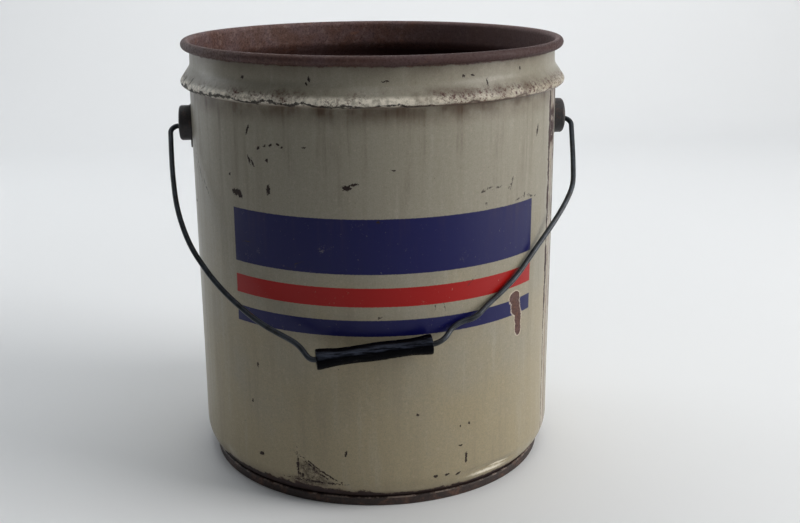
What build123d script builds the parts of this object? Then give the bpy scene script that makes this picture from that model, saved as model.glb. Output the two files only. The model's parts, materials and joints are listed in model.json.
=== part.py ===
"""An open-head steel pail of 20 litres, with a wire bail and a grip, in millimetres.

The origin is the centre of the base on the floor, +Z is up, the bail's ears are on the X axis and
the front, where the bail hangs down at rest, is towards -Y.
"""

from build123d import *

import os
from math import atan2, cos, degrees, dist, radians, sin, tan

# Sheet metal: profiles are drawn along the middle of the sheet
SHEET = 0.6
HALF_SHEET = SHEET / 2
BODY_RADIUS = 143.4  # outside of the straight wall
NECK_RADIUS = 142.9  # outside of the short wall above the bead
PAIL_HEIGHT = 336.0
BODY_LINE = BODY_RADIUS - HALF_SHEET
NECK_LINE = NECK_RADIUS - HALF_SHEET

# Rolled curl round the mouth
CURL_RADIUS = 3.2
CURL_TURN = 315.0  # degrees of sheet in the curl
CURL_HEIGHT = PAIL_HEIGHT - CURL_RADIUS - HALF_SHEET

# Swaged bead below the mouth, given by its corners before they are rounded
BEAD_FOOT_HEIGHT = 300.9
BEAD_NOSE_HEIGHT = 303.0
BEAD_NOSE_REACH = 8.6
BEAD_TOP_HEIGHT = 316.5
BEAD_FOOT_BEND = 1.6
BEAD_NOSE_BEND = 2.8
BEAD_TOP_BEND = 8.0

# Double seam that joins the bottom end to the body, in five layers of sheet
SEAM_RADIUS = 136.0  # outside of the seam
SEAM_HEIGHT = 7.0
LAYER_STEP = 0.72  # one sheet and the gap beside it
SEAM_FOLD = 0.70
SEAM_FOOT_BEND = 0.9
BODY_HOOK_TOP = 5.3
END_HOOK_FOOT = 2.4
END_OUTER, BODY_HOOK, END_HOOK, BODY_WALL, END_CHUCK = (
    SEAM_RADIUS - HALF_SHEET - LAYER_STEP * layer for layer in range(5)
)

# Shoulder that brings the wall in to the seam
SHOULDER_TOP = 15.94
SHOULDER_FOOT = 7.52
SHOULDER_BEND = 26.0
SHOULDER_FOOT_BEND = 1.5

# Bottom panel, with a pressed step that stiffens it
PANEL_HEIGHT = 9.0
PANEL_BEND = 2.2
PANEL_STEP_RADIUS = 112.0
PANEL_STEP_RUN = 5.0
PANEL_STEP_RISE = 2.4
PANEL_STEP_BEND = 3.0
AXIS_OVERRUN = 0.6  # the panel is drawn this far past the axis and trimmed there

# Sealing compound above the body hook
COMPOUND_WIDTH = 0.66
COMPOUND_HEIGHT = 0.5
COMPOUND_LEVEL = 5.95
COMPOUND_EDGE = 0.2

# Welded side seam, a flattened lap of the sheet's two ends
WELD_AZIMUTH = -22.0  # degrees from +X
WELD_WIDTH = 5.0
WELD_PROUD = 0.3
WELD_FOOT = 29.0
WELD_TOP = 299.0
WELD_BLANK = 6.0  # radial size of the block that keeps only the lap

# Bail ears, drawn cups with a flange that is spot welded to the wall
PIVOT_HEIGHT = 268.0
EAR_SHEET = 1.2
EAR_FLANGE_RADIUS = 17.0
EAR_CUP_RADIUS = 13.7
EAR_CUP_RISE = 2.5  # of the cup's centre above the pivot
EAR_FACE = 153.0  # outside of the cup's face, from the pail's axis
EAR_FACE_BEND = 2.2
PIVOT_HOLE_RADIUS = 2.4

# Grip, by the ends of its bore line: X and the distance from the hinge line
GRIP_LEFT = (-53.3, 209.8)
GRIP_RIGHT = (29.3, 201.1)
GRIP_END_RADIUS = 7.3
GRIP_WAIST_RADIUS = 6.5
GRIP_BORE_RADIUS = 2.5
GRIP_LIP = 3.0
GRIP_FLARE = 11.0
GRIP_EDGE = 1.0

# Bail, in the plane of the hinge line and the wire
WIRE_RADIUS = 2.0
HEAD_RADIUS = 3.7
HEAD_LENGTH = 2.0
HEAD_EDGE = 0.6
HEAD_FACE = EAR_FACE - EAR_SHEET - 0.5  # leaves 0.5 of end play inside the cup
BAIL_REACH = 160.6  # where the wire turns down beside the ears
BAIL_HANG = 48.0  # degrees forward of straight down, at rest
SHARP_TURN = 40.0
SHARP_BEND = 6.5
GRIP_RUN = 4.0  # straight wire beyond each end of the grip

os.makedirs("parts", exist_ok=True)


def write(piece, name):
    """Label a finished piece and write it as a STEP file of the same name."""
    piece.part.label = name
    export_step(piece.part, f"parts/{name}.step")


def bend_radii(corners):
    """The largest gentle bend at each inner corner, and a tight one where the wire turns sharply."""
    radii = []
    for before, corner, after in zip(corners, corners[1:], corners[2:]):
        heading_in = atan2(corner[1] - before[1], corner[0] - before[0])
        heading_out = atan2(after[1] - corner[1], after[0] - corner[0])
        turn = abs((degrees(heading_out - heading_in) + 180) % 360 - 180)
        run = min(dist(before, corner), dist(corner, after))
        largest = 0.45 * run / tan(radians(turn) / 2)
        radii.append(SHARP_BEND if turn > SHARP_TURN else largest)
    return radii


# Body shell: one rolled sheet with the body hook, shoulder, bead and curl
with BuildPart() as body_shell:
    with BuildSketch(Plane.XZ):
        with BuildLine():
            hook_foot = HALF_SHEET + LAYER_STEP
            FilletPolyline(
                (BODY_HOOK, BODY_HOOK_TOP),
                (BODY_HOOK, hook_foot),
                (BODY_WALL, hook_foot),
                (BODY_WALL, SHOULDER_FOOT),
                (BODY_LINE, SHOULDER_TOP),
                (BODY_LINE, BEAD_FOOT_HEIGHT),
                (BODY_LINE + BEAD_NOSE_REACH, BEAD_NOSE_HEIGHT),
                (NECK_LINE, BEAD_TOP_HEIGHT),
                (NECK_LINE, CURL_HEIGHT),
                radius=[
                    SEAM_FOLD,
                    SEAM_FOLD,
                    SHOULDER_FOOT_BEND,
                    SHOULDER_BEND,
                    BEAD_FOOT_BEND,
                    BEAD_NOSE_BEND,
                    BEAD_TOP_BEND,
                ],
            )
            CenterArc((NECK_LINE + CURL_RADIUS, CURL_HEIGHT), CURL_RADIUS, 180, -CURL_TURN)
            offset(amount=HALF_SHEET, side=Side.BOTH)
        make_face()
    revolve(axis=Axis.Z)
    # The side seam's lap stands proud of the straight wall
    with BuildSketch(Plane.XY.offset(WELD_FOOT)):
        Circle(BODY_RADIUS + WELD_PROUD)
        Circle(BODY_LINE, mode=Mode.SUBTRACT)
        with Locations(Rotation(0, 0, WELD_AZIMUTH) * Pos(BODY_RADIUS, 0)):
            Rectangle(WELD_BLANK, WELD_WIDTH, mode=Mode.INTERSECT)
    extrude(amount=WELD_TOP - WELD_FOOT)
write(body_shell, "body_shell")

# Bottom end: stepped panel, chuck wall, outer seam wall and end hook in one pressed sheet
with BuildPart() as bottom_end:
    with BuildSketch(Plane.XZ):
        with BuildLine():
            raised_panel = PANEL_HEIGHT + PANEL_STEP_RISE
            seam_top = SEAM_HEIGHT - HALF_SHEET
            FilletPolyline(
                (-AXIS_OVERRUN, raised_panel),
                (PANEL_STEP_RADIUS - PANEL_STEP_RUN / 2, raised_panel),
                (PANEL_STEP_RADIUS + PANEL_STEP_RUN / 2, PANEL_HEIGHT),
                (END_CHUCK, PANEL_HEIGHT),
                (END_CHUCK, HALF_SHEET),
                (END_OUTER, HALF_SHEET),
                (END_OUTER, seam_top),
                (END_HOOK, seam_top),
                (END_HOOK, END_HOOK_FOOT),
                radius=[
                    PANEL_STEP_BEND,
                    PANEL_STEP_BEND,
                    PANEL_BEND,
                    SEAM_FOOT_BEND,
                    SEAM_FOOT_BEND,
                    SEAM_FOLD,
                    SEAM_FOLD,
                ],
            )
            offset(amount=HALF_SHEET, side=Side.BOTH)
        make_face()
        # Only the half beyond the axis is turned
        with Locations((0, raised_panel)):
            Rectangle(
                4 * AXIS_OVERRUN,
                4 * AXIS_OVERRUN,
                align=(Align.MAX, Align.CENTER),
                mode=Mode.SUBTRACT,
            )
    revolve(axis=Axis.Z)
write(bottom_end, "bottom_end")

# Bead of sealing compound in the double seam
with BuildPart() as seam_compound:
    with BuildSketch(Plane.XZ):
        with Locations((BODY_HOOK, COMPOUND_LEVEL)):
            RectangleRounded(COMPOUND_WIDTH, COMPOUND_HEIGHT, COMPOUND_EDGE)
    revolve(axis=Axis.Z)
write(seam_compound, "seam_compound")

# Right ear: a cup with a rounded face on a round flange that follows the wall
with BuildPart() as right_ear:
    with BuildSketch(Plane.YZ):
        with Locations((0, PIVOT_HEIGHT)):
            Circle(EAR_FLANGE_RADIUS)
    extrude(amount=EAR_FACE)
    with BuildSketch(Plane.XY.offset(PIVOT_HEIGHT - 2 * EAR_FLANGE_RADIUS)):
        Circle(BODY_RADIUS + EAR_SHEET)
    extrude(amount=4 * EAR_FLANGE_RADIUS, mode=Mode.INTERSECT)
    with BuildSketch(Plane.YZ):
        with Locations((0, PIVOT_HEIGHT + EAR_CUP_RISE)):
            Circle(EAR_CUP_RADIUS)
    extrude(amount=EAR_FACE)
    face_edge = right_ear.faces().sort_by(Axis.X)[-1].edges()
    fillet(face_edge, radius=EAR_FACE_BEND)
    # The cup's inside, with the same rounded face
    with BuildSketch(Plane.YZ):
        with Locations((0, PIVOT_HEIGHT + EAR_CUP_RISE)):
            Circle(EAR_CUP_RADIUS - EAR_SHEET)
    extrude(amount=EAR_FACE - EAR_SHEET, mode=Mode.SUBTRACT)
    inner_edges = right_ear.edges(Select.LAST).filter_by(GeomType.CIRCLE)
    fillet(inner_edges.sort_by(Axis.X)[-1], radius=EAR_FACE_BEND - EAR_SHEET)
    # The wall fills everything inside the body's radius
    with BuildSketch(Plane.XY.offset(PIVOT_HEIGHT - 2 * EAR_FLANGE_RADIUS)):
        Circle(BODY_RADIUS)
    extrude(amount=4 * EAR_FLANGE_RADIUS, mode=Mode.SUBTRACT)
    with Locations(Plane((EAR_FACE, 0, PIVOT_HEIGHT), z_dir=(1, 0, 0))):
        Hole(PIVOT_HOLE_RADIUS, depth=2 * EAR_SHEET)
write(right_ear, "right_ear")

# Left ear: the same pressing on the other side
with BuildPart() as left_ear:
    mirror(right_ear.part, about=Plane.YZ)
write(left_ear, "left_ear")

# Planes of the bail: local x along the hinge line, local y from the hinge out to the grip
hang = radians(BAIL_HANG)
bail_plane = Plane((0, 0, PIVOT_HEIGHT), x_dir=(1, 0, 0), z_dir=(0, cos(hang), -sin(hang)))
grip_slope = (GRIP_RIGHT[1] - GRIP_LEFT[1]) / (GRIP_RIGHT[0] - GRIP_LEFT[0])
grip_left_bend = (GRIP_LEFT[0] - GRIP_RUN, GRIP_LEFT[1] - GRIP_RUN * grip_slope)
grip_right_bend = (GRIP_RIGHT[0] + GRIP_RUN, GRIP_RIGHT[1] + GRIP_RUN * grip_slope)

# Bail wire: bent by use, fuller on the left and straighter on the right, with upset heads
with BuildPart() as bail_wire:
    wire_corners = [
        (-HEAD_FACE + HEAD_LENGTH / 2, 0),
        (-BAIL_REACH, 0),
        (-157.8, 44),
        (-153.2, 80),
        (-142.6, 113.5),
        (-121.3, 149),
        (-93, 179),
        (-65.5, 196.8),
        grip_left_bend,
        grip_right_bend,
        (39.7, 196.2),
        (43.6, 189.8),
        (51, 184.2),
        (62.6, 181.3),
        (71.4, 171.8),
        (84.4, 160.3),
        (97.2, 147.4),
        (109.4, 130.8),
        (130.4, 102.9),
        (142.8, 84.6),
        (152.2, 67),
        (156.2, 40),
        (BAIL_REACH, 0),
        (HEAD_FACE - HEAD_LENGTH / 2, 0),
    ]
    with BuildLine(bail_plane) as wire_line:
        FilletPolyline(wire_corners, radius=bend_radii(wire_corners))
    with BuildSketch(Plane(wire_line.line @ 0, z_dir=wire_line.line % 0)):
        Circle(WIRE_RADIUS)
    sweep()
    for side in (-1, 1):
        with BuildSketch(Plane((side * HEAD_FACE, 0, PIVOT_HEIGHT), z_dir=(-side, 0, 0))):
            Circle(HEAD_RADIUS)
        extrude(amount=HEAD_LENGTH)
    fillet(
        bail_wire.edges().filter_by(
            lambda edge: edge.geom_type == GeomType.CIRCLE and edge.radius == HEAD_RADIUS
        ),
        radius=HEAD_EDGE,
    )
write(bail_wire, "bail_wire")

# Grip: a moulded sleeve with a waist and flared ends, free to turn on the wire
grip_length = dist(GRIP_LEFT, GRIP_RIGHT)
grip_start = bail_plane.from_local_coords(GRIP_LEFT)
grip_end = bail_plane.from_local_coords(GRIP_RIGHT)
grip_plane = Plane(grip_start, x_dir=grip_end - grip_start, z_dir=bail_plane.z_dir)
with BuildPart() as bail_grip:
    with BuildSketch(grip_plane) as grip_profile:
        with BuildLine():
            Polyline(
                (0, GRIP_BORE_RADIUS),
                (0, GRIP_END_RADIUS),
                (GRIP_LIP, GRIP_END_RADIUS),
                (GRIP_LIP + GRIP_FLARE, GRIP_WAIST_RADIUS),
                (grip_length - GRIP_LIP - GRIP_FLARE, GRIP_WAIST_RADIUS),
                (grip_length - GRIP_LIP, GRIP_END_RADIUS),
                (grip_length, GRIP_END_RADIUS),
                (grip_length, GRIP_BORE_RADIUS),
                close=True,
            )
        make_face()
        end_corners = grip_profile.vertices().sort_by(Axis.Y)[-4:]
        fillet(end_corners, radius=GRIP_EDGE)
    revolve(axis=Axis(grip_plane.origin, grip_plane.x_dir))
write(bail_grip, "bail_grip")
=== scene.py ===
"""Looks of an old open-head steel pail: scuffed stone paint with a plain striped print, rust on the
curl, the inside and the base seam, oxidised ears, a bent wire bail and a worn black grip.

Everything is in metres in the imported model's own frame: +Z up, front towards -Y, ears on X.
"""

import json
import math

import bpy
import numpy as np
from mathutils import Matrix, Vector


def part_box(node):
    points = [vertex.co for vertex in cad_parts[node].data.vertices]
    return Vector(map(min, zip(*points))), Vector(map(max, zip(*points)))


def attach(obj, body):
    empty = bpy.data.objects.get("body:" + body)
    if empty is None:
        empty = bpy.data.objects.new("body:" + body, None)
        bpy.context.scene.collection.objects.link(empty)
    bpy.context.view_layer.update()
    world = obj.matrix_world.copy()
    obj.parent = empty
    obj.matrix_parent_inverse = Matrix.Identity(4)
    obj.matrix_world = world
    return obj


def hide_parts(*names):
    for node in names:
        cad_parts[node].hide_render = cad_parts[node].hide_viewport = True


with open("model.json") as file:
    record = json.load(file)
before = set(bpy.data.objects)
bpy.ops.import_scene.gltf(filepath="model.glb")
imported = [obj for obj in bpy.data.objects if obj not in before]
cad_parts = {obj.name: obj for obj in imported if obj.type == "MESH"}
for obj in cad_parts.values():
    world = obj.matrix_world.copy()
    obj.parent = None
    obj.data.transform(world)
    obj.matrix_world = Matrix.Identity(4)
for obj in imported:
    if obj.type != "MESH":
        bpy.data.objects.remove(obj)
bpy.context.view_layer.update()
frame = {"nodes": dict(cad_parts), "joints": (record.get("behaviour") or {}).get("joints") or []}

MM = 0.001
RNG = np.random.default_rng(20)

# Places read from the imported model
JOINTS = {joint["name"]: joint for joint in frame["joints"]}
GRIP_CENTRE = Vector(JOINTS["grip_spin"]["pos_m"])
GRIP_AXIS = Vector(JOINTS["grip_spin"]["axis"]).normalized()
PAIL_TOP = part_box("body_shell")[1].z
SEAM_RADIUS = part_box("bottom_end")[1].y

# Sheet metal, in millimetres, along the middle of the sheet
SHEET = 0.6
BODY_LINE = 143.1
NECK_LINE = 142.6
CURL_RADIUS = 3.2
CURL_TURN = 315  # degrees
BODY_RADIUS = BODY_LINE + SHEET / 2
CURL_HEIGHT = PAIL_TOP / MM - CURL_RADIUS - SHEET / 2
LAYER_STEP = 0.72
END_OUTER, BODY_HOOK, END_HOOK, BODY_WALL, END_CHUCK = (
    SEAM_RADIUS / MM - SHEET / 2 - LAYER_STEP * layer for layer in range(5)
)
BODY_HOOK_TOP = 5.3
END_HOOK_TOP, END_HOOK_FOOT = 6.7, 2.4
SHOULDER_FOOT, SHOULDER_TOP = 7.52, 15.94
BEAD_FOOT, BEAD_NOSE, BEAD_TOP = 300.9, 303.0, 316.5
BEAD_REACH = 8.6
PANEL_HEIGHT, PANEL_RISE = 9.0, 2.4
PANEL_STEP = (109.5, 114.5)
WELD_AZIMUTH = math.radians(68)  # from the front, towards +X
WELD_HALF_WIDTH = 2.5
WELD_PROUD = 0.3
WELD_SPAN = (29, 299)
SEAM_MARGIN = 9.5

# The grip, in millimetres
GRIP_LENGTH = 83.0
GRIP_END = 7.2
GRIP_WAIST = 6.4
GRIP_BORE = 2.5
GRIP_LIP = 3.0
GRIP_FLARE = 11.0
GRIP_NICKS = 26

# Steps round each turned piece
BODY_STEPS = 300
END_STEPS = 360
GRIP_STEPS = 120

# The printed stripes: side edges as azimuths in degrees, spans of height in millimetres
PRINT_SIDES = (-49.5, 50.5)
BROAD_BLUE = (184, 224)
RED_STRIPE = (160, 174)
THIN_BLUE = (138, 150)
INK_EDGE = 0.2


# ---------------------------------------------------------------- camera, light and floor


def srgb(red, green, blue):
    """A colour given in 0 to 255 screen values, as the linear RGBA that Blender takes."""
    linear = [
        v / 255 / 12.92 if v / 255 <= 0.04045 else ((v / 255 + 0.055) / 1.055) ** 2.4
        for v in (red, green, blue)
    ]
    return (*linear, 1.0)


def add_camera():
    """A camera in front of the pail, a little to the left and looking 17 degrees down."""
    place = (-0.0612, -0.8884, 0.4161)
    heading, pitch, roll = math.radians(5.25), math.radians(16.57), math.radians(-0.33)
    level = math.cos(pitch)
    forward = Vector((math.sin(heading) * level, math.cos(heading) * level, -math.sin(pitch)))
    data = bpy.data.cameras.new("camera")
    data.sensor_width = 36
    data.lens = 50.35
    camera = bpy.data.objects.new("camera", data)
    bpy.context.scene.collection.objects.link(camera)
    aim = forward.to_track_quat("-Z", "Y").to_matrix()
    turn = Matrix.Rotation(-roll, 3, forward)
    camera.matrix_world = Matrix.Translation(place) @ (turn @ aim).to_4x4()
    bpy.context.scene.camera = camera


def add_light(name, place, target, size, power, colour):
    """A rectangular soft box that points at the target; power is in watts."""
    data = bpy.data.lights.new(name, "AREA")
    data.shape = "RECTANGLE"
    data.size, data.size_y = size
    data.energy = power
    data.color = colour
    light = bpy.data.objects.new(name, data)
    bpy.context.scene.collection.objects.link(light)
    light.location = place
    light.rotation_euler = (Vector(target) - Vector(place)).to_track_quat("-Z", "Y").to_euler()


def add_studio():
    """A pale floor that curves up into a backdrop, with soft light from above and the right."""
    world = bpy.data.worlds.new("studio")
    world.use_nodes = True
    background = world.node_tree.nodes["Background"]
    background.inputs["Color"].default_value = (0.94, 0.97, 1.0, 1)
    background.inputs["Strength"].default_value = 0.105
    bpy.context.scene.world = world
    bpy.context.scene.view_settings.view_transform = "Standard"

    half_width, front, bend_start, bend, height = 4.0, -2.5, 1.3, 0.5, 3.0
    outline = [(front, 0.0), (bend_start, 0.0)]
    steps = 24
    for step in range(1, steps + 1):
        angle = math.pi / 2 * step / steps
        outline.append((bend_start + bend * math.sin(angle), bend * (1 - math.cos(angle))))
    outline.append((bend_start + bend, height))
    verts = [(side, y, z) for y, z in outline for side in (-half_width, half_width)]
    faces = [(2 * i, 2 * i + 1, 2 * i + 3, 2 * i + 2) for i in range(len(outline) - 1)]
    mesh = bpy.data.meshes.new("floor")
    mesh.from_pydata(verts, [], faces)
    mesh.polygons.foreach_set("use_smooth", [True] * len(mesh.polygons))
    floor = bpy.data.objects.new("floor", mesh)
    bpy.context.scene.collection.objects.link(floor)
    material = bpy.data.materials.new("pale_floor")
    material.use_nodes = True
    shader = material.node_tree.nodes["Principled BSDF"]
    shader.inputs["Base Color"].default_value = (0.80, 0.81, 0.82, 1)
    shader.inputs["Roughness"].default_value = 0.75
    mesh.materials.append(material)

    add_light("key", (2.0, -0.67, 1.1), (0.0, 0.0, 0.2), (1.2, 1.95), 46.5, (1.0, 0.985, 0.96))
    add_light("top", (0.1, 0.35, 1.7), (0.0, 0.1, 0.0), (1.6, 1.2), 10, (0.97, 0.99, 1.0))
    add_light("left", (-1.4, 0.9, 0.75), (0.0, 0.0, 0.2), (0.7, 1.3), 5, (0.95, 0.98, 1.0))
    add_light("strip", (0.2, -0.7, 1.55), (0.0, -0.15, 0.15), (1.0, 0.15), 2.0, (0.93, 0.97, 1.0))
    add_light("backdrop", (0.0, 0.75, 1.5), (0.0, 1.8, 0.9), (3.0, 0.5), 11, (0.96, 0.98, 1.0))


# ---------------------------------------------------------------- shader graphs


class Graph:
    """A material's node graph, with one short call for each kind of node."""

    def __init__(self, name):
        self.material = bpy.data.materials.new(name)
        self.material.use_nodes = True
        self.nodes = self.material.node_tree.nodes
        self.links = self.material.node_tree.links
        self.shader = self.nodes["Principled BSDF"]
        coords = self.nodes.new("ShaderNodeTexCoord").outputs
        self.point = self.vector("SCALE", coords["Object"], scale=1 / MM)
        self.x, self.y, self.z = self.split(self.point)
        self.up = self.split(coords["Normal"])[2]

    def put(self, socket, value):
        """Link a socket's value, or set it if it is a plain number or colour."""
        if isinstance(value, bpy.types.NodeSocket):
            self.links.new(value, socket)
        else:
            socket.default_value = value

    def math(self, operation, *values, clamp=False):
        node = self.nodes.new("ShaderNodeMath")
        node.operation = operation
        node.use_clamp = clamp
        for socket, value in zip(node.inputs, values):
            self.put(socket, value)
        return node.outputs[0]

    def vector(self, operation, *values, scale=None):
        node = self.nodes.new("ShaderNodeVectorMath")
        node.operation = operation
        for socket, value in zip(node.inputs, values):
            self.put(socket, value)
        if scale is not None:
            self.put(node.inputs["Scale"], scale)
        return node.outputs["Value" if operation in ("LENGTH", "DOT_PRODUCT") else "Vector"]

    def split(self, value):
        node = self.nodes.new("ShaderNodeSeparateXYZ")
        self.put(node.inputs[0], value)
        return node.outputs[:3]

    def join(self, x, y, z=0.0):
        node = self.nodes.new("ShaderNodeCombineXYZ")
        for socket, value in zip(node.inputs, (x, y, z)):
            self.put(socket, value)
        return node.outputs[0]

    def noise(self, size, detail=4, rough=0.55, at=None, stretch=None, colour=False):
        """Noise whose features are about size millimetres across, from 0 to 1 about 0.5."""
        at = self.point if at is None else at
        if stretch:
            at = self.vector("MULTIPLY", at, stretch)
        node = self.nodes.new("ShaderNodeTexNoise")
        self.put(node.inputs["Vector"], at)
        self.put(node.inputs["Scale"], 1 / size)
        self.put(node.inputs["Detail"], detail)
        self.put(node.inputs["Roughness"], rough)
        return node.outputs["Color" if colour else "Fac"]

    def step(self, value, low, high, out=(0.0, 1.0)):
        """A smooth step of value from low to high, either way round."""
        node = self.nodes.new("ShaderNodeMapRange")
        node.interpolation_type = "SMOOTHSTEP"
        for name, given in zip(
            ("Value", "From Min", "From Max", "To Min", "To Max"), (value, low, high, *out)
        ):
            self.put(node.inputs[name], given)
        return node.outputs["Result"]

    def band(self, value, low, high, soft):
        """1 between low and high, with soft edges."""
        rise = self.step(value, low - soft, low + soft)
        fall = self.step(value, high + soft, high - soft)
        return self.math("MULTIPLY", rise, fall)

    def mix(self, share, under, over):
        node = self.nodes.new("ShaderNodeMix")
        node.data_type = "RGBA"
        self.put(node.inputs["Factor"], share)
        self.put(node.inputs[6], under)
        self.put(node.inputs[7], over)
        return node.outputs[2]

    def both(self, a, b):
        return self.math("MULTIPLY", a, b)

    def either(self, a, b):
        return self.math("MAXIMUM", a, b)

    def spots(self, marks, at):
        """How near a point is to the nearest mark, under 1 inside it.

        A mark is (u, v, half width, half height, turn in degrees). Marks of one turn share a
        turned copy of the point, and each is then one scale and shift of it.
        """
        nearest = None
        for turn in sorted({mark[4] for mark in marks}):
            cos, sin = math.cos(math.radians(turn)), math.sin(math.radians(turn))
            across = self.vector("DOT_PRODUCT", at, (cos, sin, 0))
            along = self.vector("DOT_PRODUCT", at, (-sin, cos, 0))
            turned_point = self.join(across, along)
            for u, v, half_width, half_height, _ in (m for m in marks if m[4] == turn):
                scale = (1 / half_width, 1 / half_height, 0)
                centre = ((u * cos + v * sin) / half_width, (v * cos - u * sin) / half_height, 0)
                offset = self.vector("MULTIPLY", turned_point, scale)
                offset = self.vector("SUBTRACT", offset, centre)
                distance = self.vector("LENGTH", offset)
                nearest = distance if nearest is None else self.math("MINIMUM", nearest, distance)
        return nearest

    def finish(self, colour, roughness, height=None, depth=0.1, metallic=None):
        """Wire up the shader; height is in units of depth millimetres."""
        self.put(self.shader.inputs["Base Color"], colour)
        self.put(self.shader.inputs["Roughness"], roughness)
        if metallic is not None:
            self.put(self.shader.inputs["Metallic"], metallic)
        if height is not None:
            bump = self.nodes.new("ShaderNodeBump")
            bump.inputs["Distance"].default_value = depth * MM
            self.put(bump.inputs["Height"], height)
            self.links.new(bump.outputs[0], self.shader.inputs["Normal"])
        return self.material


def arc(degrees):
    """Distance round the wall from the front, in millimetres, of an azimuth in degrees.

    It runs from minus half to half of the way round, as the shader's own azimuth does.
    """
    return math.radians((degrees + 180) % 360 - 180) * BODY_RADIUS


# Chips that show dark steel through the paint: azimuth from the front in degrees, height,
# half width and half height in millimetres, and turn in degrees
CHIPS = [
    (-47.7, 235.6, 3.9, 2.2, 12),
    (-46.3, 233.9, 2.7, 2.0, -25),
    (-49.0, 236.3, 2.4, 1.2, 35),
    (-35.3, 241, 1.6, 3.4, -8),
    (-42.1, 282, 0.8, 3.6, -25),
    (-41.9, 261, 0.9, 3.2, 20),
    (-40.6, 259, 0.8, 3.0, 25),
    (-38.2, 270, 1.6, 1.0, 30),
    (-36.0, 272, 1.2, 0.8, 10),
    (-34.0, 273, 1.5, 0.8, 30),
    (-31.6, 274, 1.3, 0.8, -10),
    (-30.2, 272, 0.9, 0.7, 0),
    (-23.5, 273, 1.5, 0.6, 5),
    (-35.5, 262, 1.0, 1.5, 0),
    (-50.5, 248, 1.2, 0.7, 40),
    (-11.6, 246, 3.2, 1.8, 0),
    (-9.6, 248.5, 3.0, 0.7, 5),
    (-3.1, 222, 1.4, 0.9, 0),
    (1.4, 258, 1.5, 0.6, -10),
    (52.9, 274, 1.0, 4.2, -14),
    (-43.5, 318.5, 1.5, 0.9, 10),
    (-21.6, 319.4, 0.9, 1.7, 0),
    (-22.4, 316.8, 0.8, 1.2, 30),
    (-0.6, 318.5, 2.4, 0.5, 5),
    (21.6, 320.2, 1.4, 0.8, 10),
    (24.4, 320.4, 1.2, 0.7, -20),
    (29.0, 314.9, 0.6, 2.6, -10),
    (42.5, 321.5, 0.7, 1.3, 0),
    (-77.0, 308.0, 0.8, 3.6, 25),
    (-72.5, 306.5, 2.6, 0.7, -10),
    (-69.0, 309.5, 0.6, 2.8, -25),
    (13.6, 24, 1.9, 0.9, 0),
    (17.2, 23.8, 1.6, 0.9, 10),
    (20.9, 22.5, 2.2, 1.0, 25),
    (23.6, 34.5, 1.1, 4.0, 0),
    (21.7, 45.6, 1.5, 0.8, 0),
    (24.5, 62, 0.7, 1.0, 0),
    (21.7, 61.2, 0.6, 0.7, 0),
    (8.0, 75.8, 1.1, 0.9, 0),
    (-13.3, 46, 0.8, 2.4, -8),
    (-41.8, 34, 2.2, 1.6, 20),
    (-44.7, 76, 0.7, 1.6, 0),
    (-41.9, 106, 0.6, 1.8, 0),
    (70.0, 246, 1.4, 3.0, 0),
    (118, 210, 2.4, 1.8, 30),
    (131, 148, 1.2, 4.0, 20),
    (150, 262, 3.4, 2.0, -15),
    (171, 92, 2.2, 3.2, 40),
    (186, 236, 1.2, 5.0, 12),
    (204, 60, 3.8, 2.2, 0),
    (226, 180, 1.4, 2.2, 60),
    (243, 118, 2.6, 1.4, 5),
    (262, 246, 1.8, 1.2, 15),
    (96, 262, 1.6, 2.4, 20),
    (104, 66, 2.6, 1.4, -10),
    (123, 34, 1.0, 4.4, 0),
    (138, 268, 1.4, 0.9, 0),
    (144, 78, 3.0, 1.8, 15),
    (176, 206, 1.0, 3.2, -20),
    (193, 268, 2.2, 1.2, 0),
    (211, 104, 1.4, 1.0, 0),
    (234, 40, 1.8, 3.0, 20),
    (255, 70, 1.2, 0.9, 0),
    (270, 152, 1.0, 3.4, -15),
    (281, 214, 2.4, 1.3, 10),
]
# One large bare patch on the print's lower right corner, and one at the back
PATCHES = [
    (42.5, 151, 6.4, 5.2, 0),
    (43.0, 144, 5.4, 7.0, 0),
    (44.4, 135, 4.3, 7.5, 0),
    (44.5, 126, 4.0, 6.0, 10),
    (195.6, 128, 6.6, 4.2, 20),
    (197.6, 124, 4.6, 6.2, -10),
    (194.0, 124.6, 4.4, 3.4, -25),
    (198.6, 117, 2.2, 4.4, 8),
]
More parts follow.
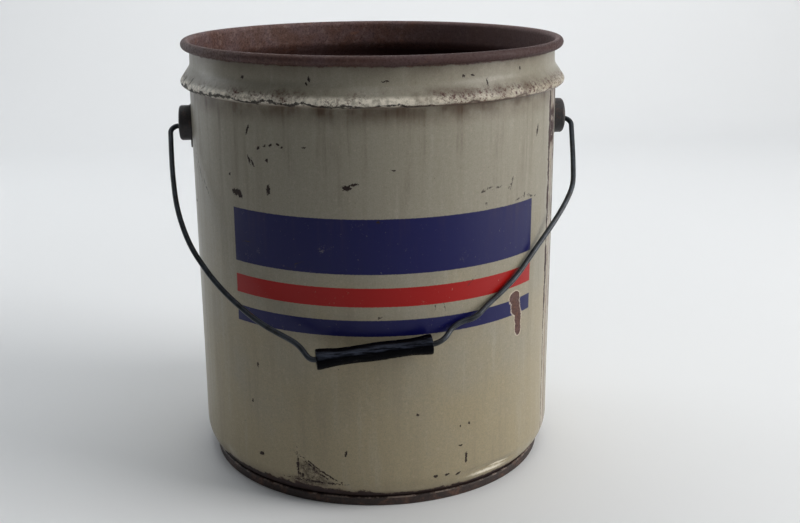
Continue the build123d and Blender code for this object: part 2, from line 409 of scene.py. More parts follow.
# Groups of fine scratches on the front and back, and three long strokes on the left that are a
# painted shadow of the wire
SCRATCHES_AND_WIRE_SHADOW = [
    (28.5, 238, 3.5, 0.6, 10),
    (31.0, 240, 3.0, 0.6, 0),
    (34.0, 239, 4.0, 0.6, 10),
    (39.8, 240, 0.6, 5.0, -20),
    (38.4, 237, 2.2, 0.5, 30),
    (43.5, 227, 3.5, 0.6, 10),
    (46.2, 229, 0.7, 3.0, -10),
    (48.4, 228, 1.6, 1.2, 0),
    (50.0, 226, 4.0, 0.7, -20),
    (52.4, 225, 2.2, 0.6, 10),
    (29.8, 228, 0.7, 2.2, 0),
    # Painted shadow of the bail wire on the left wall, drawn as three strokes
    (-74.5, 252, 0.8, 8.0, 10),
    (-70.5, 241, 0.8, 8.5, 30),
    (-65.0, 230, 0.8, 9.0, 40),
    (24.2, 172, 4.5, 0.3, 40),
    (-30.0, 186, 5.0, 0.3, -15),
    (-26.4, 190, 4.0, 0.3, 25),
    (-44.0, 200, 4.4, 0.35, 3),
    (-3.0, 152, 2.6, 0.5, 20),
    (16.0, 158, 0.35, 3.5, 15),
    (13.2, 158, 0.35, 3.0, 0),
    (-14.0, 118, 6.0, 0.3, 70),
    (140, 204, 9.0, 0.3, 35),
    (166, 178, 7.0, 0.3, -40),
    (214, 216, 8.0, 0.35, 15),
    (236, 92, 6.0, 0.3, 60),
    (100, 186, 9.0, 0.5, -25),
    (112, 112, 7.0, 0.4, 50),
    (128, 240, 11.0, 0.5, 12),
    (155, 138, 8.0, 0.5, -60),
    (190, 64, 12.0, 0.5, 25),
    (202, 170, 9.0, 0.5, 75),
    (224, 262, 7.0, 0.5, -12),
    (246, 200, 10.0, 0.5, -48),
    (274, 96, 9.0, 0.5, 30),
]
# Cracks round the dent at the lower left, and the stain inside them
DENT_CRACKS = [
    (-28.8, 31, 0.9, 10.0, 0),
    (-21.6, 30.5, 19.5, 0.8, -30),
    (-23.5, 20, 21.0, 0.8, 0),
    (-25.0, 33, 5.5, 0.8, -30),
    (-21.0, 26, 6.5, 0.8, -30),
    (-15.0, 20.5, 1.5, 1.6, 0),
    (-27.5, 24, 2.2, 1.6, 0),
]
DENT_STAINS = [(-24.5, 27.0, 14.0, 7.0, -30), (-25.0, 20.0, 20.0, 5.0, 0)]
# Painted highlight: a pale crescent over the base at the lower right
FOOT_HIGHLIGHTS = [(33, 16.5, 24.0, 1.7, 0), (38, 19.0, 12.0, 1.0, 0)]

# Colours of the rust, and of the painted light and shade on it
RUST_DARK = srgb(44, 30, 29)
RUST_BROWN = srgb(92, 63, 54)
RUST_MAUVE = srgb(98, 76, 76)
RUST_ORANGE = srgb(128, 82, 58)
RUST_RUBBED = srgb(168, 146, 140)
CURL_SHADE_BROWN = srgb(54, 31, 29)
INSIDE_LIT_RUST = srgb(122, 98, 96)
SOOT_AND_SHADE = srgb(38, 28, 27)
# Black of pits, also used for painted shade
PIT_AND_SHADE_BLACK = srgb(24, 19, 18)
# Colours of the paint, the print, the dirt on them and the painted light and shade
STONE = srgb(155, 143, 116)
STONE_GREY = srgb(144, 139, 125)
STONE_SOILED = srgb(126, 117, 101)
STONE_BLEACHED = srgb(172, 168, 156)
STONE_GRIMY = srgb(118, 110, 94)
STONE_OLIVE = srgb(132, 128, 108)
STONE_BUFF = srgb(178, 164, 148)
STONE_PALE = srgb(180, 171, 153)
NOSE_PALE = srgb(228, 220, 204)
FOOT_HIGHLIGHT_PALE = srgb(226, 218, 200)
HALO_PALE = srgb(206, 190, 172)
PRINT_BLUE = srgb(13, 14, 72)
PRINT_RED = srgb(150, 11, 7)
DIRT_AND_SHADE_BROWN = srgb(84, 68, 54)
DENT_BROWN = srgb(70, 58, 47)
CREASE_SHADE_BROWN = srgb(72, 54, 44)
SCRATCH_AND_SHADOW_BROWN = srgb(48, 38, 33)
MARGIN_PALE = srgb(178, 169, 157)
MARGIN_BROWN = srgb(112, 86, 72)
LAP_GREY = srgb(122, 108, 98)
# Colours of the base seam, the ears, the wire, the grip, the grip's painted highlight and the
# sealing compound
SEAM_BLACK = srgb(44, 30, 26)
SEAM_BROWN = srgb(92, 62, 48)
SEAM_PIT = srgb(22, 17, 16)
SEAM_RUBBED = srgb(132, 116, 106)
EAR_STEEL = srgb(44, 40, 42)
EAR_BROWN = srgb(70, 52, 46)
EAR_PIT = srgb(22, 19, 20)
WIRE_GREY = srgb(46, 51, 58)
WIRE_OXIDE = srgb(18, 20, 23)
WIRE_BROWN = srgb(66, 48, 40)
PLASTIC_BLACK = srgb(1, 1, 3)
PLASTIC_DULL = srgb(5, 5, 8)
PLASTIC_WORN = srgb(32, 32, 38)
PLASTIC_HIGHLIGHT = srgb(52, 56, 67)
COMPOUND_BUFF = srgb(158, 150, 134)
COMPOUND_GREY = srgb(118, 108, 94)


def on_wall(marks):
    """Marks with their azimuths turned into distances round the wall."""
    return [(arc(azimuth), *rest) for azimuth, *rest in marks]


def rust_colour(g, pale=0.0):
    """Old red-brown rust: mauve and brown clouds, dark pits and a few orange blooms."""
    clouds = g.noise(26, detail=6, rough=0.62)
    grain = g.noise(1.6, detail=5, rough=0.7)
    colour = g.mix(g.step(clouds, 0.36, 0.62), RUST_MAUVE, RUST_BROWN)
    colour = g.mix(g.step(grain, 0.42, 0.70, (0.0, 0.75)), colour, RUST_DARK)
    blooms = g.both(g.step(g.noise(11, detail=5, rough=0.65), 0.60, 0.72), 0.55)
    colour = g.mix(blooms, colour, RUST_ORANGE)
    if pale:
        rubbed = g.step(g.noise(5, detail=5, rough=0.7), 0.5, 0.68, (0.0, pale))
        colour = g.mix(rubbed, colour, RUST_RUBBED)
    return colour, grain


def wall_point(g):
    """Distance round the wall, and the wall's point (distance round, height) moved a little.

    The moves give ragged edges to the marks that are drawn at that point.
    """
    azimuth = g.math("ARCTAN2", g.x, g.math("MULTIPLY", g.y, -1.0))
    around = g.math("MULTIPLY", azimuth, BODY_RADIUS)
    place = g.join(around, g.z)
    shift = g.vector("SUBTRACT", g.noise(2.4, detail=5, rough=0.75, colour=True), (0.5, 0.5, 0.5))
    return around, g.vector("ADD", place, g.vector("SCALE", shift, scale=3.8))


def plain_paint(g, runs, fine):
    """Stone paint with faint clouds, dust and vertical runs."""
    clouds = g.noise(55, detail=5, rough=0.6)
    greying = g.math("MULTIPLY_ADD", clouds, 260.0, g.z)
    colour = g.mix(g.step(greying, 170, 350), STONE, STONE_GREY)
    colour = g.mix(g.step(runs, 0.50, 0.72, (0.0, 0.34)), colour, STONE_SOILED)
    colour = g.mix(g.step(runs, 0.46, 0.28, (0.0, 0.22)), colour, STONE_BLEACHED)
    colour = g.mix(g.step(fine, 0.40, 0.72, (0.0, 0.50)), colour, STONE_GRIMY)
    mottle = g.noise(2.6, detail=5, rough=0.75)
    colour = g.mix(g.step(mottle, 0.48, 0.70, (0.0, 0.45)), colour, STONE_OLIVE)
    return g.mix(g.step(mottle, 0.46, 0.28, (0.0, 0.35)), colour, STONE_BUFF)


def add_print(g, colour, around, fine):
    """Three plain stripes on the front, worn through in flecks."""
    edge = g.math("MULTIPLY", g.math("SUBTRACT", g.noise(1.2, detail=4, rough=0.7), 0.5), 0.9)
    height = g.math("ADD", g.z, edge)
    left, right = (arc(side) for side in PRINT_SIDES)
    across = g.band(g.math("ADD", around, edge), left, right, INK_EDGE)
    broad = g.band(height, *BROAD_BLUE, INK_EDGE)
    thin = g.band(height, *THIN_BLUE, INK_EDGE)
    middle = g.band(height, *RED_STRIPE, INK_EDGE)
    blue = g.both(across, g.either(broad, thin))
    red = g.both(across, middle)
    worn = g.step(g.noise(2.2, detail=6, rough=0.78), 0.65, 0.69)
    rubbed = g.both(g.step(g.noise(14, detail=5, rough=0.7), 0.60, 0.78), g.step(fine, 0.5, 0.62))
    kept = g.math("SUBTRACT", 1.0, g.either(worn, rubbed), clamp=True)
    colour = g.mix(g.both(blue, kept), colour, PRINT_BLUE)
    return g.mix(g.both(red, kept), colour, PRINT_RED)


def add_dirt_and_painted_light(g, colour, ragged):
    """A pale nose on the bead, partly scuffed and partly a painted highlight; dirt and painted
    shade under the curl, below the bead and at the base; a painted highlight over the base; and the
    stain in the dent.
    """
    # Pale band on the bead's nose, paler on the left: scuffed paint and a painted highlight where
    # the nose faces up
    nose = g.band(g.z, BEAD_NOSE - 1.2, BEAD_NOSE + 5.4, 1.6)
    nose_scuff_and_highlight = g.both(nose, g.step(g.noise(5, detail=6, rough=0.75), 0.36, 0.56, (0.25, 1.0)))
    colour = g.mix(nose_scuff_and_highlight, colour, g.mix(g.step(g.x, -20, 90), NOSE_PALE, STONE_PALE))
    # Browner towards the curl: grime and the painted shadow of the curl
    under_curl = g.step(g.z, 316, 331, (0.0, 0.6))
    bead_stain = g.step(g.noise(17, detail=5), g.step(g.x, 0, 70, (0.48, 0.36)), 0.62, (0.0, 0.8))
    bead_stain = g.both(g.band(g.z, BEAD_NOSE + 2, BEAD_NOSE + 10, 4), bead_stain)
    under_curl = g.math("ADD", under_curl, bead_stain)
    streaks = g.step(g.noise(8, detail=4, rough=0.6, stretch=(1.0, 1.0, 0.05)), 0.48, 0.70)
    streaks = g.both(streaks, g.step(g.z, 170, 292, (0.0, 0.42)))
    # Brown just below the bead: stain and painted shade under the bead's overhang
    under_bead = g.math("ADD", g.step(g.z, 284, 300, (0.0, 0.85)), streaks)
    under_bead = g.both(under_bead, g.step(g.z, 304, 302))
    # Brown low on the shoulder, reaching higher on the left: dirt and painted shade
    base_reach = g.step(g.x, 30, -90, (14, 26))
    over_base = g.step(g.z, base_reach, 8, (0.0, 1.0))
    # One brown for all of these: dirt and stains together with painted shade
    dirt_and_shade = g.math("ADD", g.math("ADD", under_curl, under_bead), over_base)
    dirt_and_shade = g.both(dirt_and_shade, g.step(g.noise(20, detail=5), 0.30, 0.66, (0.3, 1.0)))
    colour = g.mix(dirt_and_shade, colour, DIRT_AND_SHADE_BROWN)
    # Painted highlight on the shoulder over the base at the lower right
    foot_highlight = g.step(g.spots(on_wall(FOOT_HIGHLIGHTS), ragged), 1.1, 0.3, (0.0, 0.9))
    colour = g.mix(foot_highlight, colour, FOOT_HIGHLIGHT_PALE)
    stain = g.step(g.spots(on_wall(DENT_STAINS), ragged), 1.15, 0.5)
    stain = g.both(stain, g.step(g.noise(2.6, detail=6, rough=0.75), 0.36, 0.6, (0.2, 0.95)))
    return g.mix(stain, colour, DENT_BROWN)


def add_seam(g, colour, around, runs, fine):
    """The side seam's pale margin, and a mask of the rust line along each of its edges."""
    apart = g.math("ABSOLUTE", g.math("SUBTRACT", around, WELD_AZIMUTH * BODY_RADIUS))
    on_seam = g.band(g.z, WELD_SPAN[0] - 7, WELD_SPAN[1] + 1, 2.0)
    edge_noise = g.noise(9, detail=6, rough=0.7)
    edge = g.math("MULTIPLY_ADD", edge_noise, 5.0, SEAM_MARGIN - 2.5)
    margin = g.both(g.step(apart, g.math("ADD", edge, 0.5), edge), on_seam)
    margin_runs = g.step(runs, 0.35, 0.65, (0.70, 0.30))
    colour = g.mix(g.both(margin, margin_runs), colour, MARGIN_PALE)
    soiled = g.step(g.noise(7, detail=6, rough=0.75), 0.48, 0.64, (0.0, 0.55))
    colour = g.mix(g.both(margin, soiled), colour, MARGIN_BROWN)
    lap = g.both(g.step(apart, WELD_HALF_WIDTH + 0.5, WELD_HALF_WIDTH - 0.4), on_seam)
    colour = g.mix(g.both(lap, g.step(fine, 0.35, 0.6, (0.35, 0.8))), colour, LAP_GREY)
    line = g.math("ABSOLUTE", g.math("SUBTRACT", apart, edge))
    line_width = g.step(g.noise(17, detail=5, rough=0.7), 0.38, 0.60, (0.9, 3.8))
    line_width = g.both(g.step(g.z, 100, 165, (0.3, 1.0)), line_width)
    seam_rust = g.both(g.step(line, line_width, g.both(line_width, 0.6)), on_seam)
    seam_top = g.both(g.band(g.z, 258, 286, 4.0), g.step(apart, 10.0, 6.0))
    seam_top = g.both(seam_top, g.step(edge_noise, 0.42, 0.50))
    return colour, g.either(seam_rust, seam_top)


def bead_marks(g):
    """Masks on the bead: its dark line and the brown crease under it, rust and painted shade under
    the nose, and the rust specks on its nose.
    """
    bead_noise = g.noise(4, detail=6, rough=0.8)
    # Dark line under the nose, thicker on the left: rust with painted shade under the overhang
    wander = g.step(g.noise(30, detail=3), 0.44, 0.58, (BEAD_NOSE - 1.0, BEAD_NOSE + 1.6))
    line_thick = g.math("MULTIPLY_ADD", bead_noise, g.step(g.x, 60, -60, (5.0, 8.6)), -2.0)
    line_thick = g.math("SUBTRACT", line_thick, g.step(g.x, 60, -60, (0.0, 1.0)))
    line_apart = g.math("ABSOLUTE", g.math("SUBTRACT", g.z, wander))
    bead_line = g.step(line_apart, line_thick, g.math("SUBTRACT", line_thick, 0.5))
    line_gaps = g.step(g.math("MULTIPLY_ADD", g.x, -0.004, g.noise(13, detail=4)), 0.30, 0.50)
    bead_line = g.both(bead_line, line_gaps)
    # Brown crease under the nose on the right: painted shade under the overhang
    nose_crease_shade = g.step(line_apart, g.step(bead_noise, 0.40, 0.62, (0.7, 2.0)), 0.2)
    nose_crease_shade = g.both(nose_crease_shade, g.step(g.x, -30, 30, (0.0, 0.85)))
    bead_patch = g.step(g.noise(34, detail=4, rough=0.6), 0.40, 0.60)
    bead_patch = g.math("ADD", bead_patch, g.step(g.x, 10, 60, (0.0, 0.8)), clamp=True)
    bead_grain = g.step(g.noise(2.4, detail=6, rough=0.8), 0.49, 0.58)
    on_nose = g.band(g.z, BEAD_NOSE - 1.0, BEAD_NOSE + 8.5, 2.8)
    bead_specks = g.both(g.both(on_nose, bead_patch), bead_grain)
    return bead_line, nose_crease_shade, bead_specks


def paint_material():
    """Stone paint on the outside, with the stripes, chips, stains and rust of a long-used pail."""
    g = Graph("stone_paint")
    around, ragged = wall_point(g)
    rust, _ = rust_colour(g)
    runs = g.noise(9, detail=5, rough=0.65, stretch=(1.0, 1.0, 0.07))
    fine = g.noise(0.9, detail=4, rough=0.7)
    colour = plain_paint(g, runs, fine)
    colour = add_print(g, colour, around, fine)
    colour = add_dirt_and_painted_light(g, colour, ragged)
    colour, seam_rust = add_seam(g, colour, around, runs, fine)

    # Everything that has gone through to the steel
    chip_distance = g.math("SUBTRACT", g.spots(on_wall(CHIPS), ragged), g.both(fine, 2.0))
    chips = g.step(chip_distance, 0.12, -0.02)
    patch_distance = g.spots(on_wall(PATCHES), ragged)
    patches = g.step(patch_distance, 1.02, 0.94)
    crack_edge = g.math("MULTIPLY_ADD", g.noise(2.4, detail=5, rough=0.75), 6.4, -2.4)
    scratch_and_shadow_distance = g.math("SUBTRACT", g.spots(on_wall(SCRATCHES_AND_WIRE_SHADOW), ragged), crack_edge)
    scratches_and_shadow = g.step(scratch_and_shadow_distance, 0.3, -0.3, (0.0, 0.9))
    crack_distance = g.math("SUBTRACT", g.spots(on_wall(DENT_CRACKS), ragged), crack_edge)
    cracks = g.step(crack_distance, 0.3, -0.3)
    speck_limit = g.step(g.y, -60, 40, (0.685, 0.645))
    speck_noise = g.noise(2.6, detail=6, rough=0.8)
    specks = g.step(g.math("SUBTRACT", speck_noise, speck_limit), 0.0, 0.025)
    bead_line, nose_crease_shade, bead_specks = bead_marks(g)
    # Rust at the foot, reaching higher on the left and darkened below: rust with painted shade
    foot_noise = g.noise(11, detail=6, rough=0.75)
    foot_reach = g.step(g.x, 30, -80, (3.6, 8.0))
    foot_height = g.math("SUBTRACT", g.math("MULTIPLY_ADD", foot_noise, -16.0, g.z), foot_reach)
    foot = g.step(foot_height, 0.6, -1.4)
    edge_height = g.math("MULTIPLY_ADD", g.noise(8, detail=5, rough=0.7), 5.0, g.z)
    curl_edge = g.step(edge_height, 329.8, 331.2)
    bare = g.either(g.either(chips, patches), g.either(cracks, specks))
    bare = g.either(bare, g.either(bead_specks, seam_rust))
    bare = g.either(bare, g.either(foot, curl_edge))
    halo = g.both(g.step(patch_distance, 1.22, 1.04), 0.65)
    colour = g.mix(halo, colour, HALO_PALE)
    colour = g.mix(nose_crease_shade, colour, CREASE_SHADE_BROWN)
    # Scratches, and the painted shadow of the wire
    colour = g.mix(scratches_and_shadow, colour, SCRATCH_AND_SHADOW_BROWN)
    colour = g.mix(bare, colour, rust)
    # Darkened: pits and rust, and painted shade along the bead's dark line, the foot and under the
    # curl
    dark = g.either(g.both(chips, 0.85), g.either(g.both(cracks, 0.8), g.both(specks, 0.6)))
    dark = g.either(dark, g.either(g.both(bead_line, 0.9), g.both(foot, 0.72)))
    dark = g.either(dark, g.both(seam_rust, 0.6))
    # Painted shadow under the curl: a dark band up to the curl's edge
    dark = g.either(dark, g.step(g.z, 327.0, 331.0, (0.0, 0.7)))
    colour = g.mix(dark, colour, PIT_AND_SHADE_BLACK)

    roughness = g.step(runs, 0.3, 0.8, (0.24, 0.38))
    roughness = g.math("ADD", roughness, g.both(fine, 0.10))
    roughness = g.math("ADD", roughness, g.both(g.either(bare, bead_line), 0.35))
    # Only the large bare areas show relief: the bump takes its input three times over
    relief = g.either(patches, g.either(foot, curl_edge))
    height = g.math("SUBTRACT", g.both(g.noise(1.6, detail=5, rough=0.7), relief), relief)
    height = g.math("ADD", height, g.both(g.noise(2.5, detail=2), 0.10))
    g.shader.inputs["Specular IOR Level"].default_value = 0.26
    return g.finish(colour, roughness, height, depth=0.12)


def rust_material():
    """Bare rusted steel of the curl, the inside and the bottom panel, with painted shade on the
    outer curl and low down, and painted light on the inside wall towards +X.
    """
    g = Graph("old_rust")
    colour, grain = rust_colour(g, pale=0.2)
    outer = g.step(g.vector("LENGTH", g.join(g.x, g.y)), 143.6, 146.5)
    # Painted shade on the outer curl, deeper towards +X
    shaded = g.both(outer, g.step(g.x, -90, 90, (0.45, 0.88)))
    colour = g.mix(shaded, colour, CURL_SHADE_BROWN)
    # Painted light: the inside wall paler towards +X
    inside_painted_light = g.both(g.math("SUBTRACT", 1.0, outer), g.step(g.x, 0, 110, (0.0, 0.55)))
    colour = g.mix(inside_painted_light, colour, INSIDE_LIT_RUST)
    # Darker low down: dark residue and painted shade deep in the pail, less on faces that look down
    soot_and_shade = g.both(g.step(g.z, 320, 240), g.step(g.noise(30, detail=5), 0.3, 0.6, (0.3, 0.75)))
    soot_and_shade = g.both(soot_and_shade, g.step(g.up, -0.6, -0.2, (0.35, 1.0)))
    colour = g.mix(soot_and_shade, colour, SOOT_AND_SHADE)
    roughness = g.step(grain, 0.35, 0.7, (0.48, 0.80))
    height = g.math("ADD", grain, g.both(g.noise(0.5, detail=3, rough=0.7), 0.35))
    g.shader.inputs["Specular IOR Level"].default_value = 0.3
    return g.finish(colour, roughness, height, depth=0.25)


def seam_material():
    """The base seam: nearly black rust with brown blooms and a rubbed edge."""
    g = Graph("seam_rust")
    grain = g.noise(1.4, detail=6, rough=0.75)
    blooms = g.step(g.noise(12, detail=6, rough=0.7), 0.46, 0.68)
    colour = g.mix(blooms, SEAM_BLACK, SEAM_BROWN)
    colour = g.mix(g.step(grain, 0.45, 0.72, (0.0, 0.8)), colour, SEAM_PIT)
    rubbed = g.both(
        g.band(g.z, 6.2, 7.4, 0.5), g.step(g.noise(9, detail=6, rough=0.7), 0.48, 0.60)
    )
    colour = g.mix(rubbed, colour, SEAM_RUBBED)
    roughness = g.step(grain, 0.3, 0.7, (0.42, 0.75))
    return g.finish(colour, roughness, grain, depth=0.3)


def ear_material():
    """Oxidised dark steel of the ears, with brown rust in patches and dark pits."""
    g = Graph("ear_steel")
    grain = g.noise(1.1, detail=6, rough=0.75)
    patches = g.step(g.noise(7, detail=5, rough=0.7), 0.48, 0.66)
    colour = g.mix(patches, EAR_STEEL, EAR_BROWN)
    colour = g.mix(g.step(grain, 0.45, 0.7, (0.0, 0.7)), colour, EAR_PIT)
    roughness = g.step(grain, 0.3, 0.7, (0.38, 0.68))
    return g.finish(colour, roughness, grain, depth=0.2)


def wire_material():
    """Dull drawn wire, blue-grey with dark oxide and a few brown spots."""
    g = Graph("bail_steel")
    grain = g.noise(0.8, detail=5, rough=0.7)
    oxide = g.step(g.noise(9, detail=6, rough=0.7), 0.40, 0.64)
    colour = g.mix(oxide, WIRE_GREY, WIRE_OXIDE)
    brown = g.step(g.noise(5, detail=6, rough=0.75), 0.60, 0.68)
    colour = g.mix(g.both(brown, 0.8), colour, WIRE_BROWN)
    metallic = g.step(g.math("ADD", g.both(oxide, 0.5), brown), 0.2, 1.0, (0.45, 0.1))
    roughness = g.step(grain, 0.3, 0.7, (0.26, 0.46))
    return g.finish(colour, roughness, grain, depth=0.08, metallic=metallic)


def grip_material():
    """Black moulded plastic, polished by hands, with a painted highlight in streaks on its upper
    front side.
    """
    g = Graph("black_plastic")
    fine = g.noise(0.7, detail=5, rough=0.75)
    clouds = g.noise(8, detail=5, rough=0.6)
    streaks = g.noise(1.4, detail=4, rough=0.65, stretch=(0.10, 1.0, 1.0))
    colour = g.mix(g.step(clouds, 0.4, 0.7), PLASTIC_BLACK, PLASTIC_DULL)
    colour = g.mix(g.step(fine, 0.60, 0.76, (0.0, 0.35)), colour, PLASTIC_WORN)
    # Painted highlight: pale streaks on the faces of the grip that look up and forward
    grip_highlight = g.both(g.band(g.up, 0.32, 0.80, 0.15), g.step(streaks, 0.38, 0.60, (0.15, 1.0)))
    colour = g.mix(grip_highlight, colour, PLASTIC_HIGHLIGHT)
    roughness = g.step(clouds, 0.3, 0.7, (0.14, 0.26))
    roughness = g.math("ADD", roughness, g.both(fine, 0.10))
    g.shader.inputs["Specular IOR Level"].default_value = 0.04
    return g.finish(colour, roughness, fine, depth=0.08)


def compound_material():
    """Grey-buff sealing compound, matt with fine pores."""
    g = Graph("sealing_compound")
    pores = g.noise(0.4, detail=4, rough=0.7)
    colour = g.mix(g.step(pores, 0.4, 0.7), COMPOUND_BUFF, COMPOUND_GREY)
    return g.finish(colour, g.step(pores, 0.3, 0.7, (0.7, 0.9)), pores, depth=0.05)


# ---------------------------------------------------------------- meshes


def rounded(corners, bends, spacing=0.25):
    """A polyline with its inner corners rounded: each bend is an arc tangent to both runs."""
    corners = [np.array(corner, float) for corner in corners]
    points = [corners[0]]
    for before, corner, after, bend in zip(corners, corners[1:], corners[2:], bends):
        way_in = (corner - before) / np.linalg.norm(corner - before)
        way_out = (after - corner) / np.linalg.norm(after - corner)
        turn = math.acos(np.clip(way_in @ way_out, -1, 1))
        inset = bend * math.tan(turn / 2)
        side = np.sign(way_in[0] * way_out[1] - way_in[1] * way_out[0])
        normal = side * np.array([-way_in[1], way_in[0]])
        start = corner - way_in * inset
        centre = start + normal * bend
        steps = max(3, int(bend * turn / spacing) + 1)
        for step in range(steps + 1):
            angle = turn * step / steps
            out, on = -normal * bend * math.cos(angle), way_in * bend * math.sin(angle)
            points.append(centre + out + on)
    points.append(corners[-1])
    return np.array(points)


def spaced(points, longest):
    """The same line with its long straight runs divided."""
    out = [points[0]]
    for start, end in zip(points, points[1:]):
        parts = max(1, math.ceil(np.linalg.norm(end - start) / longest))
        out.extend(start + (end - start) * part / parts for part in range(1, parts + 1))
    return np.array(out)


def sheet_outline(line):
    """The closed outline of a sheet about its middle line, and how many points are on one side."""
    tangent = np.gradient(line, axis=0)
    tangent /= np.linalg.norm(tangent, axis=1)[:, None]
    normal = np.stack([-tangent[:, 1], tangent[:, 0]], 1)
    left = line + normal * SHEET / 2
    right = line - normal * SHEET / 2
    return np.concatenate([left, right[::-1]]), len(line)


def make_object(name, verts, faces, materials, material_of=None):
    """A smooth-shaded mesh object from vertices in millimetres."""
    mesh = bpy.data.meshes.new(name)
    mesh.from_pydata([tuple(v) for v in np.asarray(verts) * MM], [], faces)
    for material in materials:
        mesh.materials.append(material)
    mesh.polygons.foreach_set("use_smooth", [True] * len(mesh.polygons))
    if material_of is not None:
        mesh.polygons.foreach_set("material_index", material_of)
    mesh.validate()
    mesh.update()
    piece = bpy.data.objects.new(name, mesh)
    bpy.context.scene.collection.objects.link(piece)
    return piece


def turned(outline, angles, closed=True):
    """Vertices (angle by angle) and quads of an outline of (radius, height) turned about Z.

    An outline that isn't closed gets no quads between its last point and its first.
    """
    rings = np.array(angles)
    radius, height = outline[:, 0], outline[:, 1]
    verts = np.stack(
        [
            np.outer(np.sin(rings), radius),
            -np.outer(np.cos(rings), radius),
            np.tile(height, (len(rings), 1)),
        ],
        axis=2,
    )
    count, around = len(outline), len(rings)
    last = count if closed else count - 1
    faces = []
    for ring in range(around):
        here, there = ring * count, (ring + 1) % around * count
        for i in range(last):
            j = (i + 1) % count
            faces.append((here + i, there + i, there + j, here + j))
    return verts.reshape(-1, 3), faces


# Dents in the wall: azimuth in degrees, then height, depth inwards, half width and half height
# in millimetres
DENTS = [
    (-26, 31, 2.6, 7, 9),
    (-21, 24, 1.6, 9, 4),
    (-29, 37, 1.0, 3, 12),
    (-60, 21, 0.9, 9, 5),
    (34, 19.5, 2.6, 22, 3.0),
    (20, 60, 0.5, 14, 10),
    (-12, 95, 0.6, 30, 24),
    (55, 110, 0.5, 26, 30),
    (-62, 190, 0.6, 24, 40),
    (38, 304, 0.7, 4, 4),
    (-34, 304, 0.9, 6, 4),
    (-20, 303, 0.5, 5, 3),
    (8, 304, 0.4, 7, 3),
    (128, 70, 2.2, 16, 22),
    (160, 304, 1.2, 8, 5),
    (187, 150, 1.2, 34, 26),
    (218, 42, 2.0, 12, 14),
    (250, 230, 0.8, 20, 30),
]


def battered(verts):
    """Press the dents into the wall and let the rim wander a little out of round."""
    azimuth = np.arctan2(verts[:, 0], -verts[:, 1])
    radius = np.hypot(verts[:, 0], verts[:, 1])
    height = verts[:, 2]
    push = np.zeros(len(verts))
    for degrees, level, depth, half_width, half_height in DENTS:
        turn = (azimuth - math.radians(degrees) + math.pi) % (2 * math.pi) - math.pi
        reach = (turn * BODY_RADIUS / half_width) ** 2 + ((height - level) / half_height) ** 2
        push -= depth * np.exp(-reach)
    sway = 0.28 * np.sin(3 * azimuth + 0.7) + 0.16 * np.sin(7 * azimuth + 2.1)
    push += (sway - 0.45) * np.clip((height - 295) / 30, 0, 1)
    push -= 0.12 * (1 + np.sin(5 * azimuth + height / 41)) * np.clip(height / 60, 0, 1)
    scale = (radius + push) / np.maximum(radius, 1e-6)
    return verts * np.stack([scale, scale, np.ones(len(verts))], 1)


def make_body():
    """The rolled body: hook, shoulder, wall, bead, neck and curl, with the side seam's lap."""
    hook_foot = SHEET / 2 + LAYER_STEP
    run = rounded(
        [
            (BODY_HOOK, BODY_HOOK_TOP),
            (BODY_HOOK, hook_foot),
            (BODY_WALL, hook_foot),
            (BODY_WALL, SHOULDER_FOOT),
            (BODY_LINE, SHOULDER_TOP),
            (BODY_LINE, BEAD_FOOT),
            (BODY_LINE + BEAD_REACH, BEAD_NOSE),
            (NECK_LINE, BEAD_TOP),
            (NECK_LINE, CURL_HEIGHT),
        ],
        [0.7, 0.7, 1.5, 26.0, 1.6, 2.8, 8.0],
        spacing=0.7,
    )
    run = spaced(run, 5.0)
    turn = np.radians(np.linspace(180, 180 - CURL_TURN, 29))[1:]
    reach, rise = CURL_RADIUS * np.cos(turn), CURL_RADIUS * np.sin(turn)
    curl = np.stack([NECK_LINE + CURL_RADIUS + reach, CURL_HEIGHT + rise], 1)
    outline, count = sheet_outline(np.concatenate([run, curl]))
    near = [
        WELD_AZIMUTH + side * (WELD_HALF_WIDTH + gap) / BODY_RADIUS
        for side in (-1, 1)
        for gap in (-0.5, 0, 0.5)
    ]
    even = np.linspace(-math.pi, math.pi, BODY_STEPS, endpoint=False)
    angles = np.sort(np.concatenate([even, near]))
    verts, faces = turned(outline, angles)
    azimuth = np.arctan2(verts[:, 0], -verts[:, 1])
    point = np.arange(2 * count)
    outside = np.tile(point >= count, len(angles))
    apart = np.abs(azimuth - WELD_AZIMUTH) * BODY_RADIUS
    raised = outside & (apart < WELD_HALF_WIDTH + 0.2)
    raised &= (verts[:, 2] > WELD_SPAN[0]) & (verts[:, 2] < WELD_SPAN[1])
    verts[raised, :2] *= 1 + WELD_PROUD / BODY_RADIUS
    # Paint covers the outside up to the curl; the rest is bare
    painted = (point >= count) & (2 * count - 1 - point < len(run))
    material_of = np.tile(np.where(painted, 0, 1), len(angles))
    piece = make_object(
        "pail_body", battered(verts), faces, [paint_material(), rust_material()], material_of
    )
    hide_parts("body_shell")
    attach(piece, "pail")


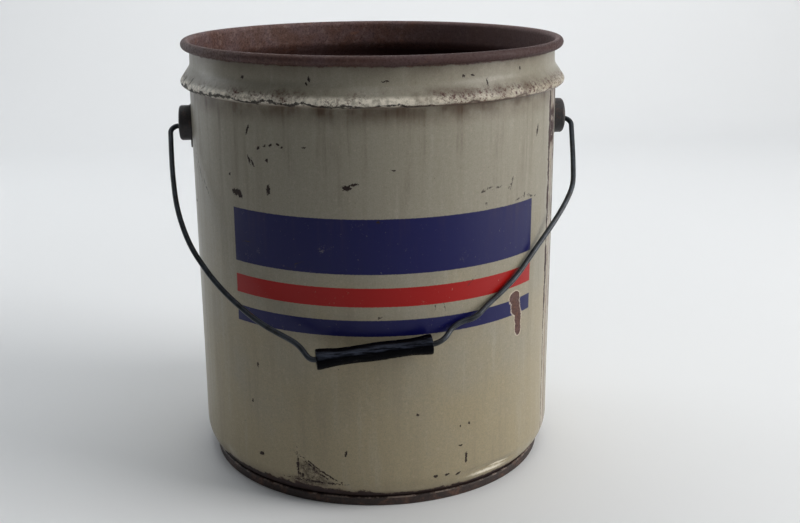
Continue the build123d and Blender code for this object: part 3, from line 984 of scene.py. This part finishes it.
def make_bottom():
    """The pressed bottom end: stepped panel, chuck wall and the outer layers of the seam."""
    middle = PANEL_HEIGHT + PANEL_RISE
    run = rounded(
        [
            (1.0, middle),
            (PANEL_STEP[0], middle),
            (PANEL_STEP[1], PANEL_HEIGHT),
            (END_CHUCK, PANEL_HEIGHT),
            (END_CHUCK, SHEET / 2),
            (END_OUTER, SHEET / 2),
            (END_OUTER, END_HOOK_TOP),
            (END_HOOK, END_HOOK_TOP),
            (END_HOOK, END_HOOK_FOOT),
        ],
        [3.0, 3.0, 2.2, 0.9, 0.9, 0.7, 0.7],
        spacing=0.35,
    )
    outline, _ = sheet_outline(spaced(run, 6.0))
    angles = np.linspace(-math.pi, math.pi, END_STEPS, endpoint=False)
    verts, faces = turned(outline, angles, closed=False)
    # The turned outline starts a millimetre from the axis: two caps close the panel there
    top, bottom = len(verts), len(verts) + 1
    verts = np.concatenate([verts, [(0, 0, middle + SHEET / 2), (0, 0, middle - SHEET / 2)]])
    width = len(outline)
    for ring in range(len(angles)):
        here, there = ring * width, (ring + 1) % len(angles) * width
        faces.append((here, top, there))
        faces.append((here + width - 1, there + width - 1, bottom))
    piece = make_object("base_end", verts, faces, [rust_material(), seam_material()])
    heights = np.array([p.center.z for p in piece.data.polygons]) / MM
    reach = np.array([math.hypot(p.center.x, p.center.y) for p in piece.data.polygons]) / MM
    on_seam = (reach > END_CHUCK - 1) & (heights < 8)
    piece.data.polygons.foreach_set("material_index", on_seam.astype(int))
    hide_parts("bottom_end")
    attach(piece, "pail")


def make_grip():
    """The moulded sleeve: lips, a waist, a parting ridge down two sides and nicks from use."""
    half = GRIP_LENGTH / 2
    outside = rounded(
        [
            (-half, GRIP_BORE),
            (-half, GRIP_END),
            (-half + GRIP_LIP, GRIP_END),
            (-half + GRIP_LIP + GRIP_FLARE, GRIP_WAIST),
            (half - GRIP_LIP - GRIP_FLARE, GRIP_WAIST),
            (half - GRIP_LIP, GRIP_END),
            (half, GRIP_END),
            (half, GRIP_BORE),
        ],
        [0.9, 4.0, 30.0, 30.0, 4.0, 0.9],
        spacing=0.5,
    )
    outline = spaced(outside, 1.2)[:, ::-1]
    angles = np.linspace(-math.pi, math.pi, GRIP_STEPS, endpoint=False)
    verts, faces = turned(outline, angles)
    angle = np.arctan2(verts[:, 0], -verts[:, 1])
    radius = np.hypot(verts[:, 0], verts[:, 1])
    place = verts[:, 2]
    outer = radius > GRIP_BORE + 1.5
    push = 0.24 * np.sin(place / 7.0 + 1.1) * np.cos(angle * 2 + 0.6)
    push += 0.14 * np.sin(place / 2.9 + 0.4) * np.cos(angle + 2.2)
    push += 0.22 * np.exp(-((np.sin(angle - 0.9) / 0.035) ** 2))
    push -= 0.30 * np.exp(-(((place - 15.5) / 0.7) ** 2))
    for _ in range(GRIP_NICKS):
        centre, level = RNG.uniform(-math.pi, math.pi), RNG.uniform(-half, half)
        width, depth = RNG.uniform(0.7, 2.2), RNG.uniform(0.15, 0.5)
        turn = (angle - centre + math.pi) % (2 * math.pi) - math.pi
        push -= depth * np.exp(-((turn * GRIP_WAIST / width) ** 2) - ((place - level) / width) ** 2)
    push = np.where(outer, np.minimum(push, 0.25), 0)
    scale = (radius + push) / radius
    verts = verts * np.stack([scale, scale, np.ones(len(verts))], 1)
    piece = make_object("worn_grip", verts, faces, [grip_material()])
    turn = GRIP_AXIS.to_track_quat("Z", "Y").to_matrix().to_4x4()
    piece.data.transform(Matrix.Translation(GRIP_CENTRE) @ turn)
    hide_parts("bail_grip")
    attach(piece, "grip")


def dress_node(name, material):
    """Give a CAD node a finish and smooth shading."""
    node = frame["nodes"][name]
    node.data.materials.clear()
    node.data.materials.append(material)
    node.data.polygons.foreach_set("use_smooth", [True] * len(node.data.polygons))


add_camera()
add_studio()
make_body()
make_bottom()
ear_finish = ear_material()
dress_node("left_ear", ear_finish)
dress_node("right_ear", ear_finish)
dress_node("bail_wire", wire_material())
make_grip()
dress_node("seam_compound", compound_material())
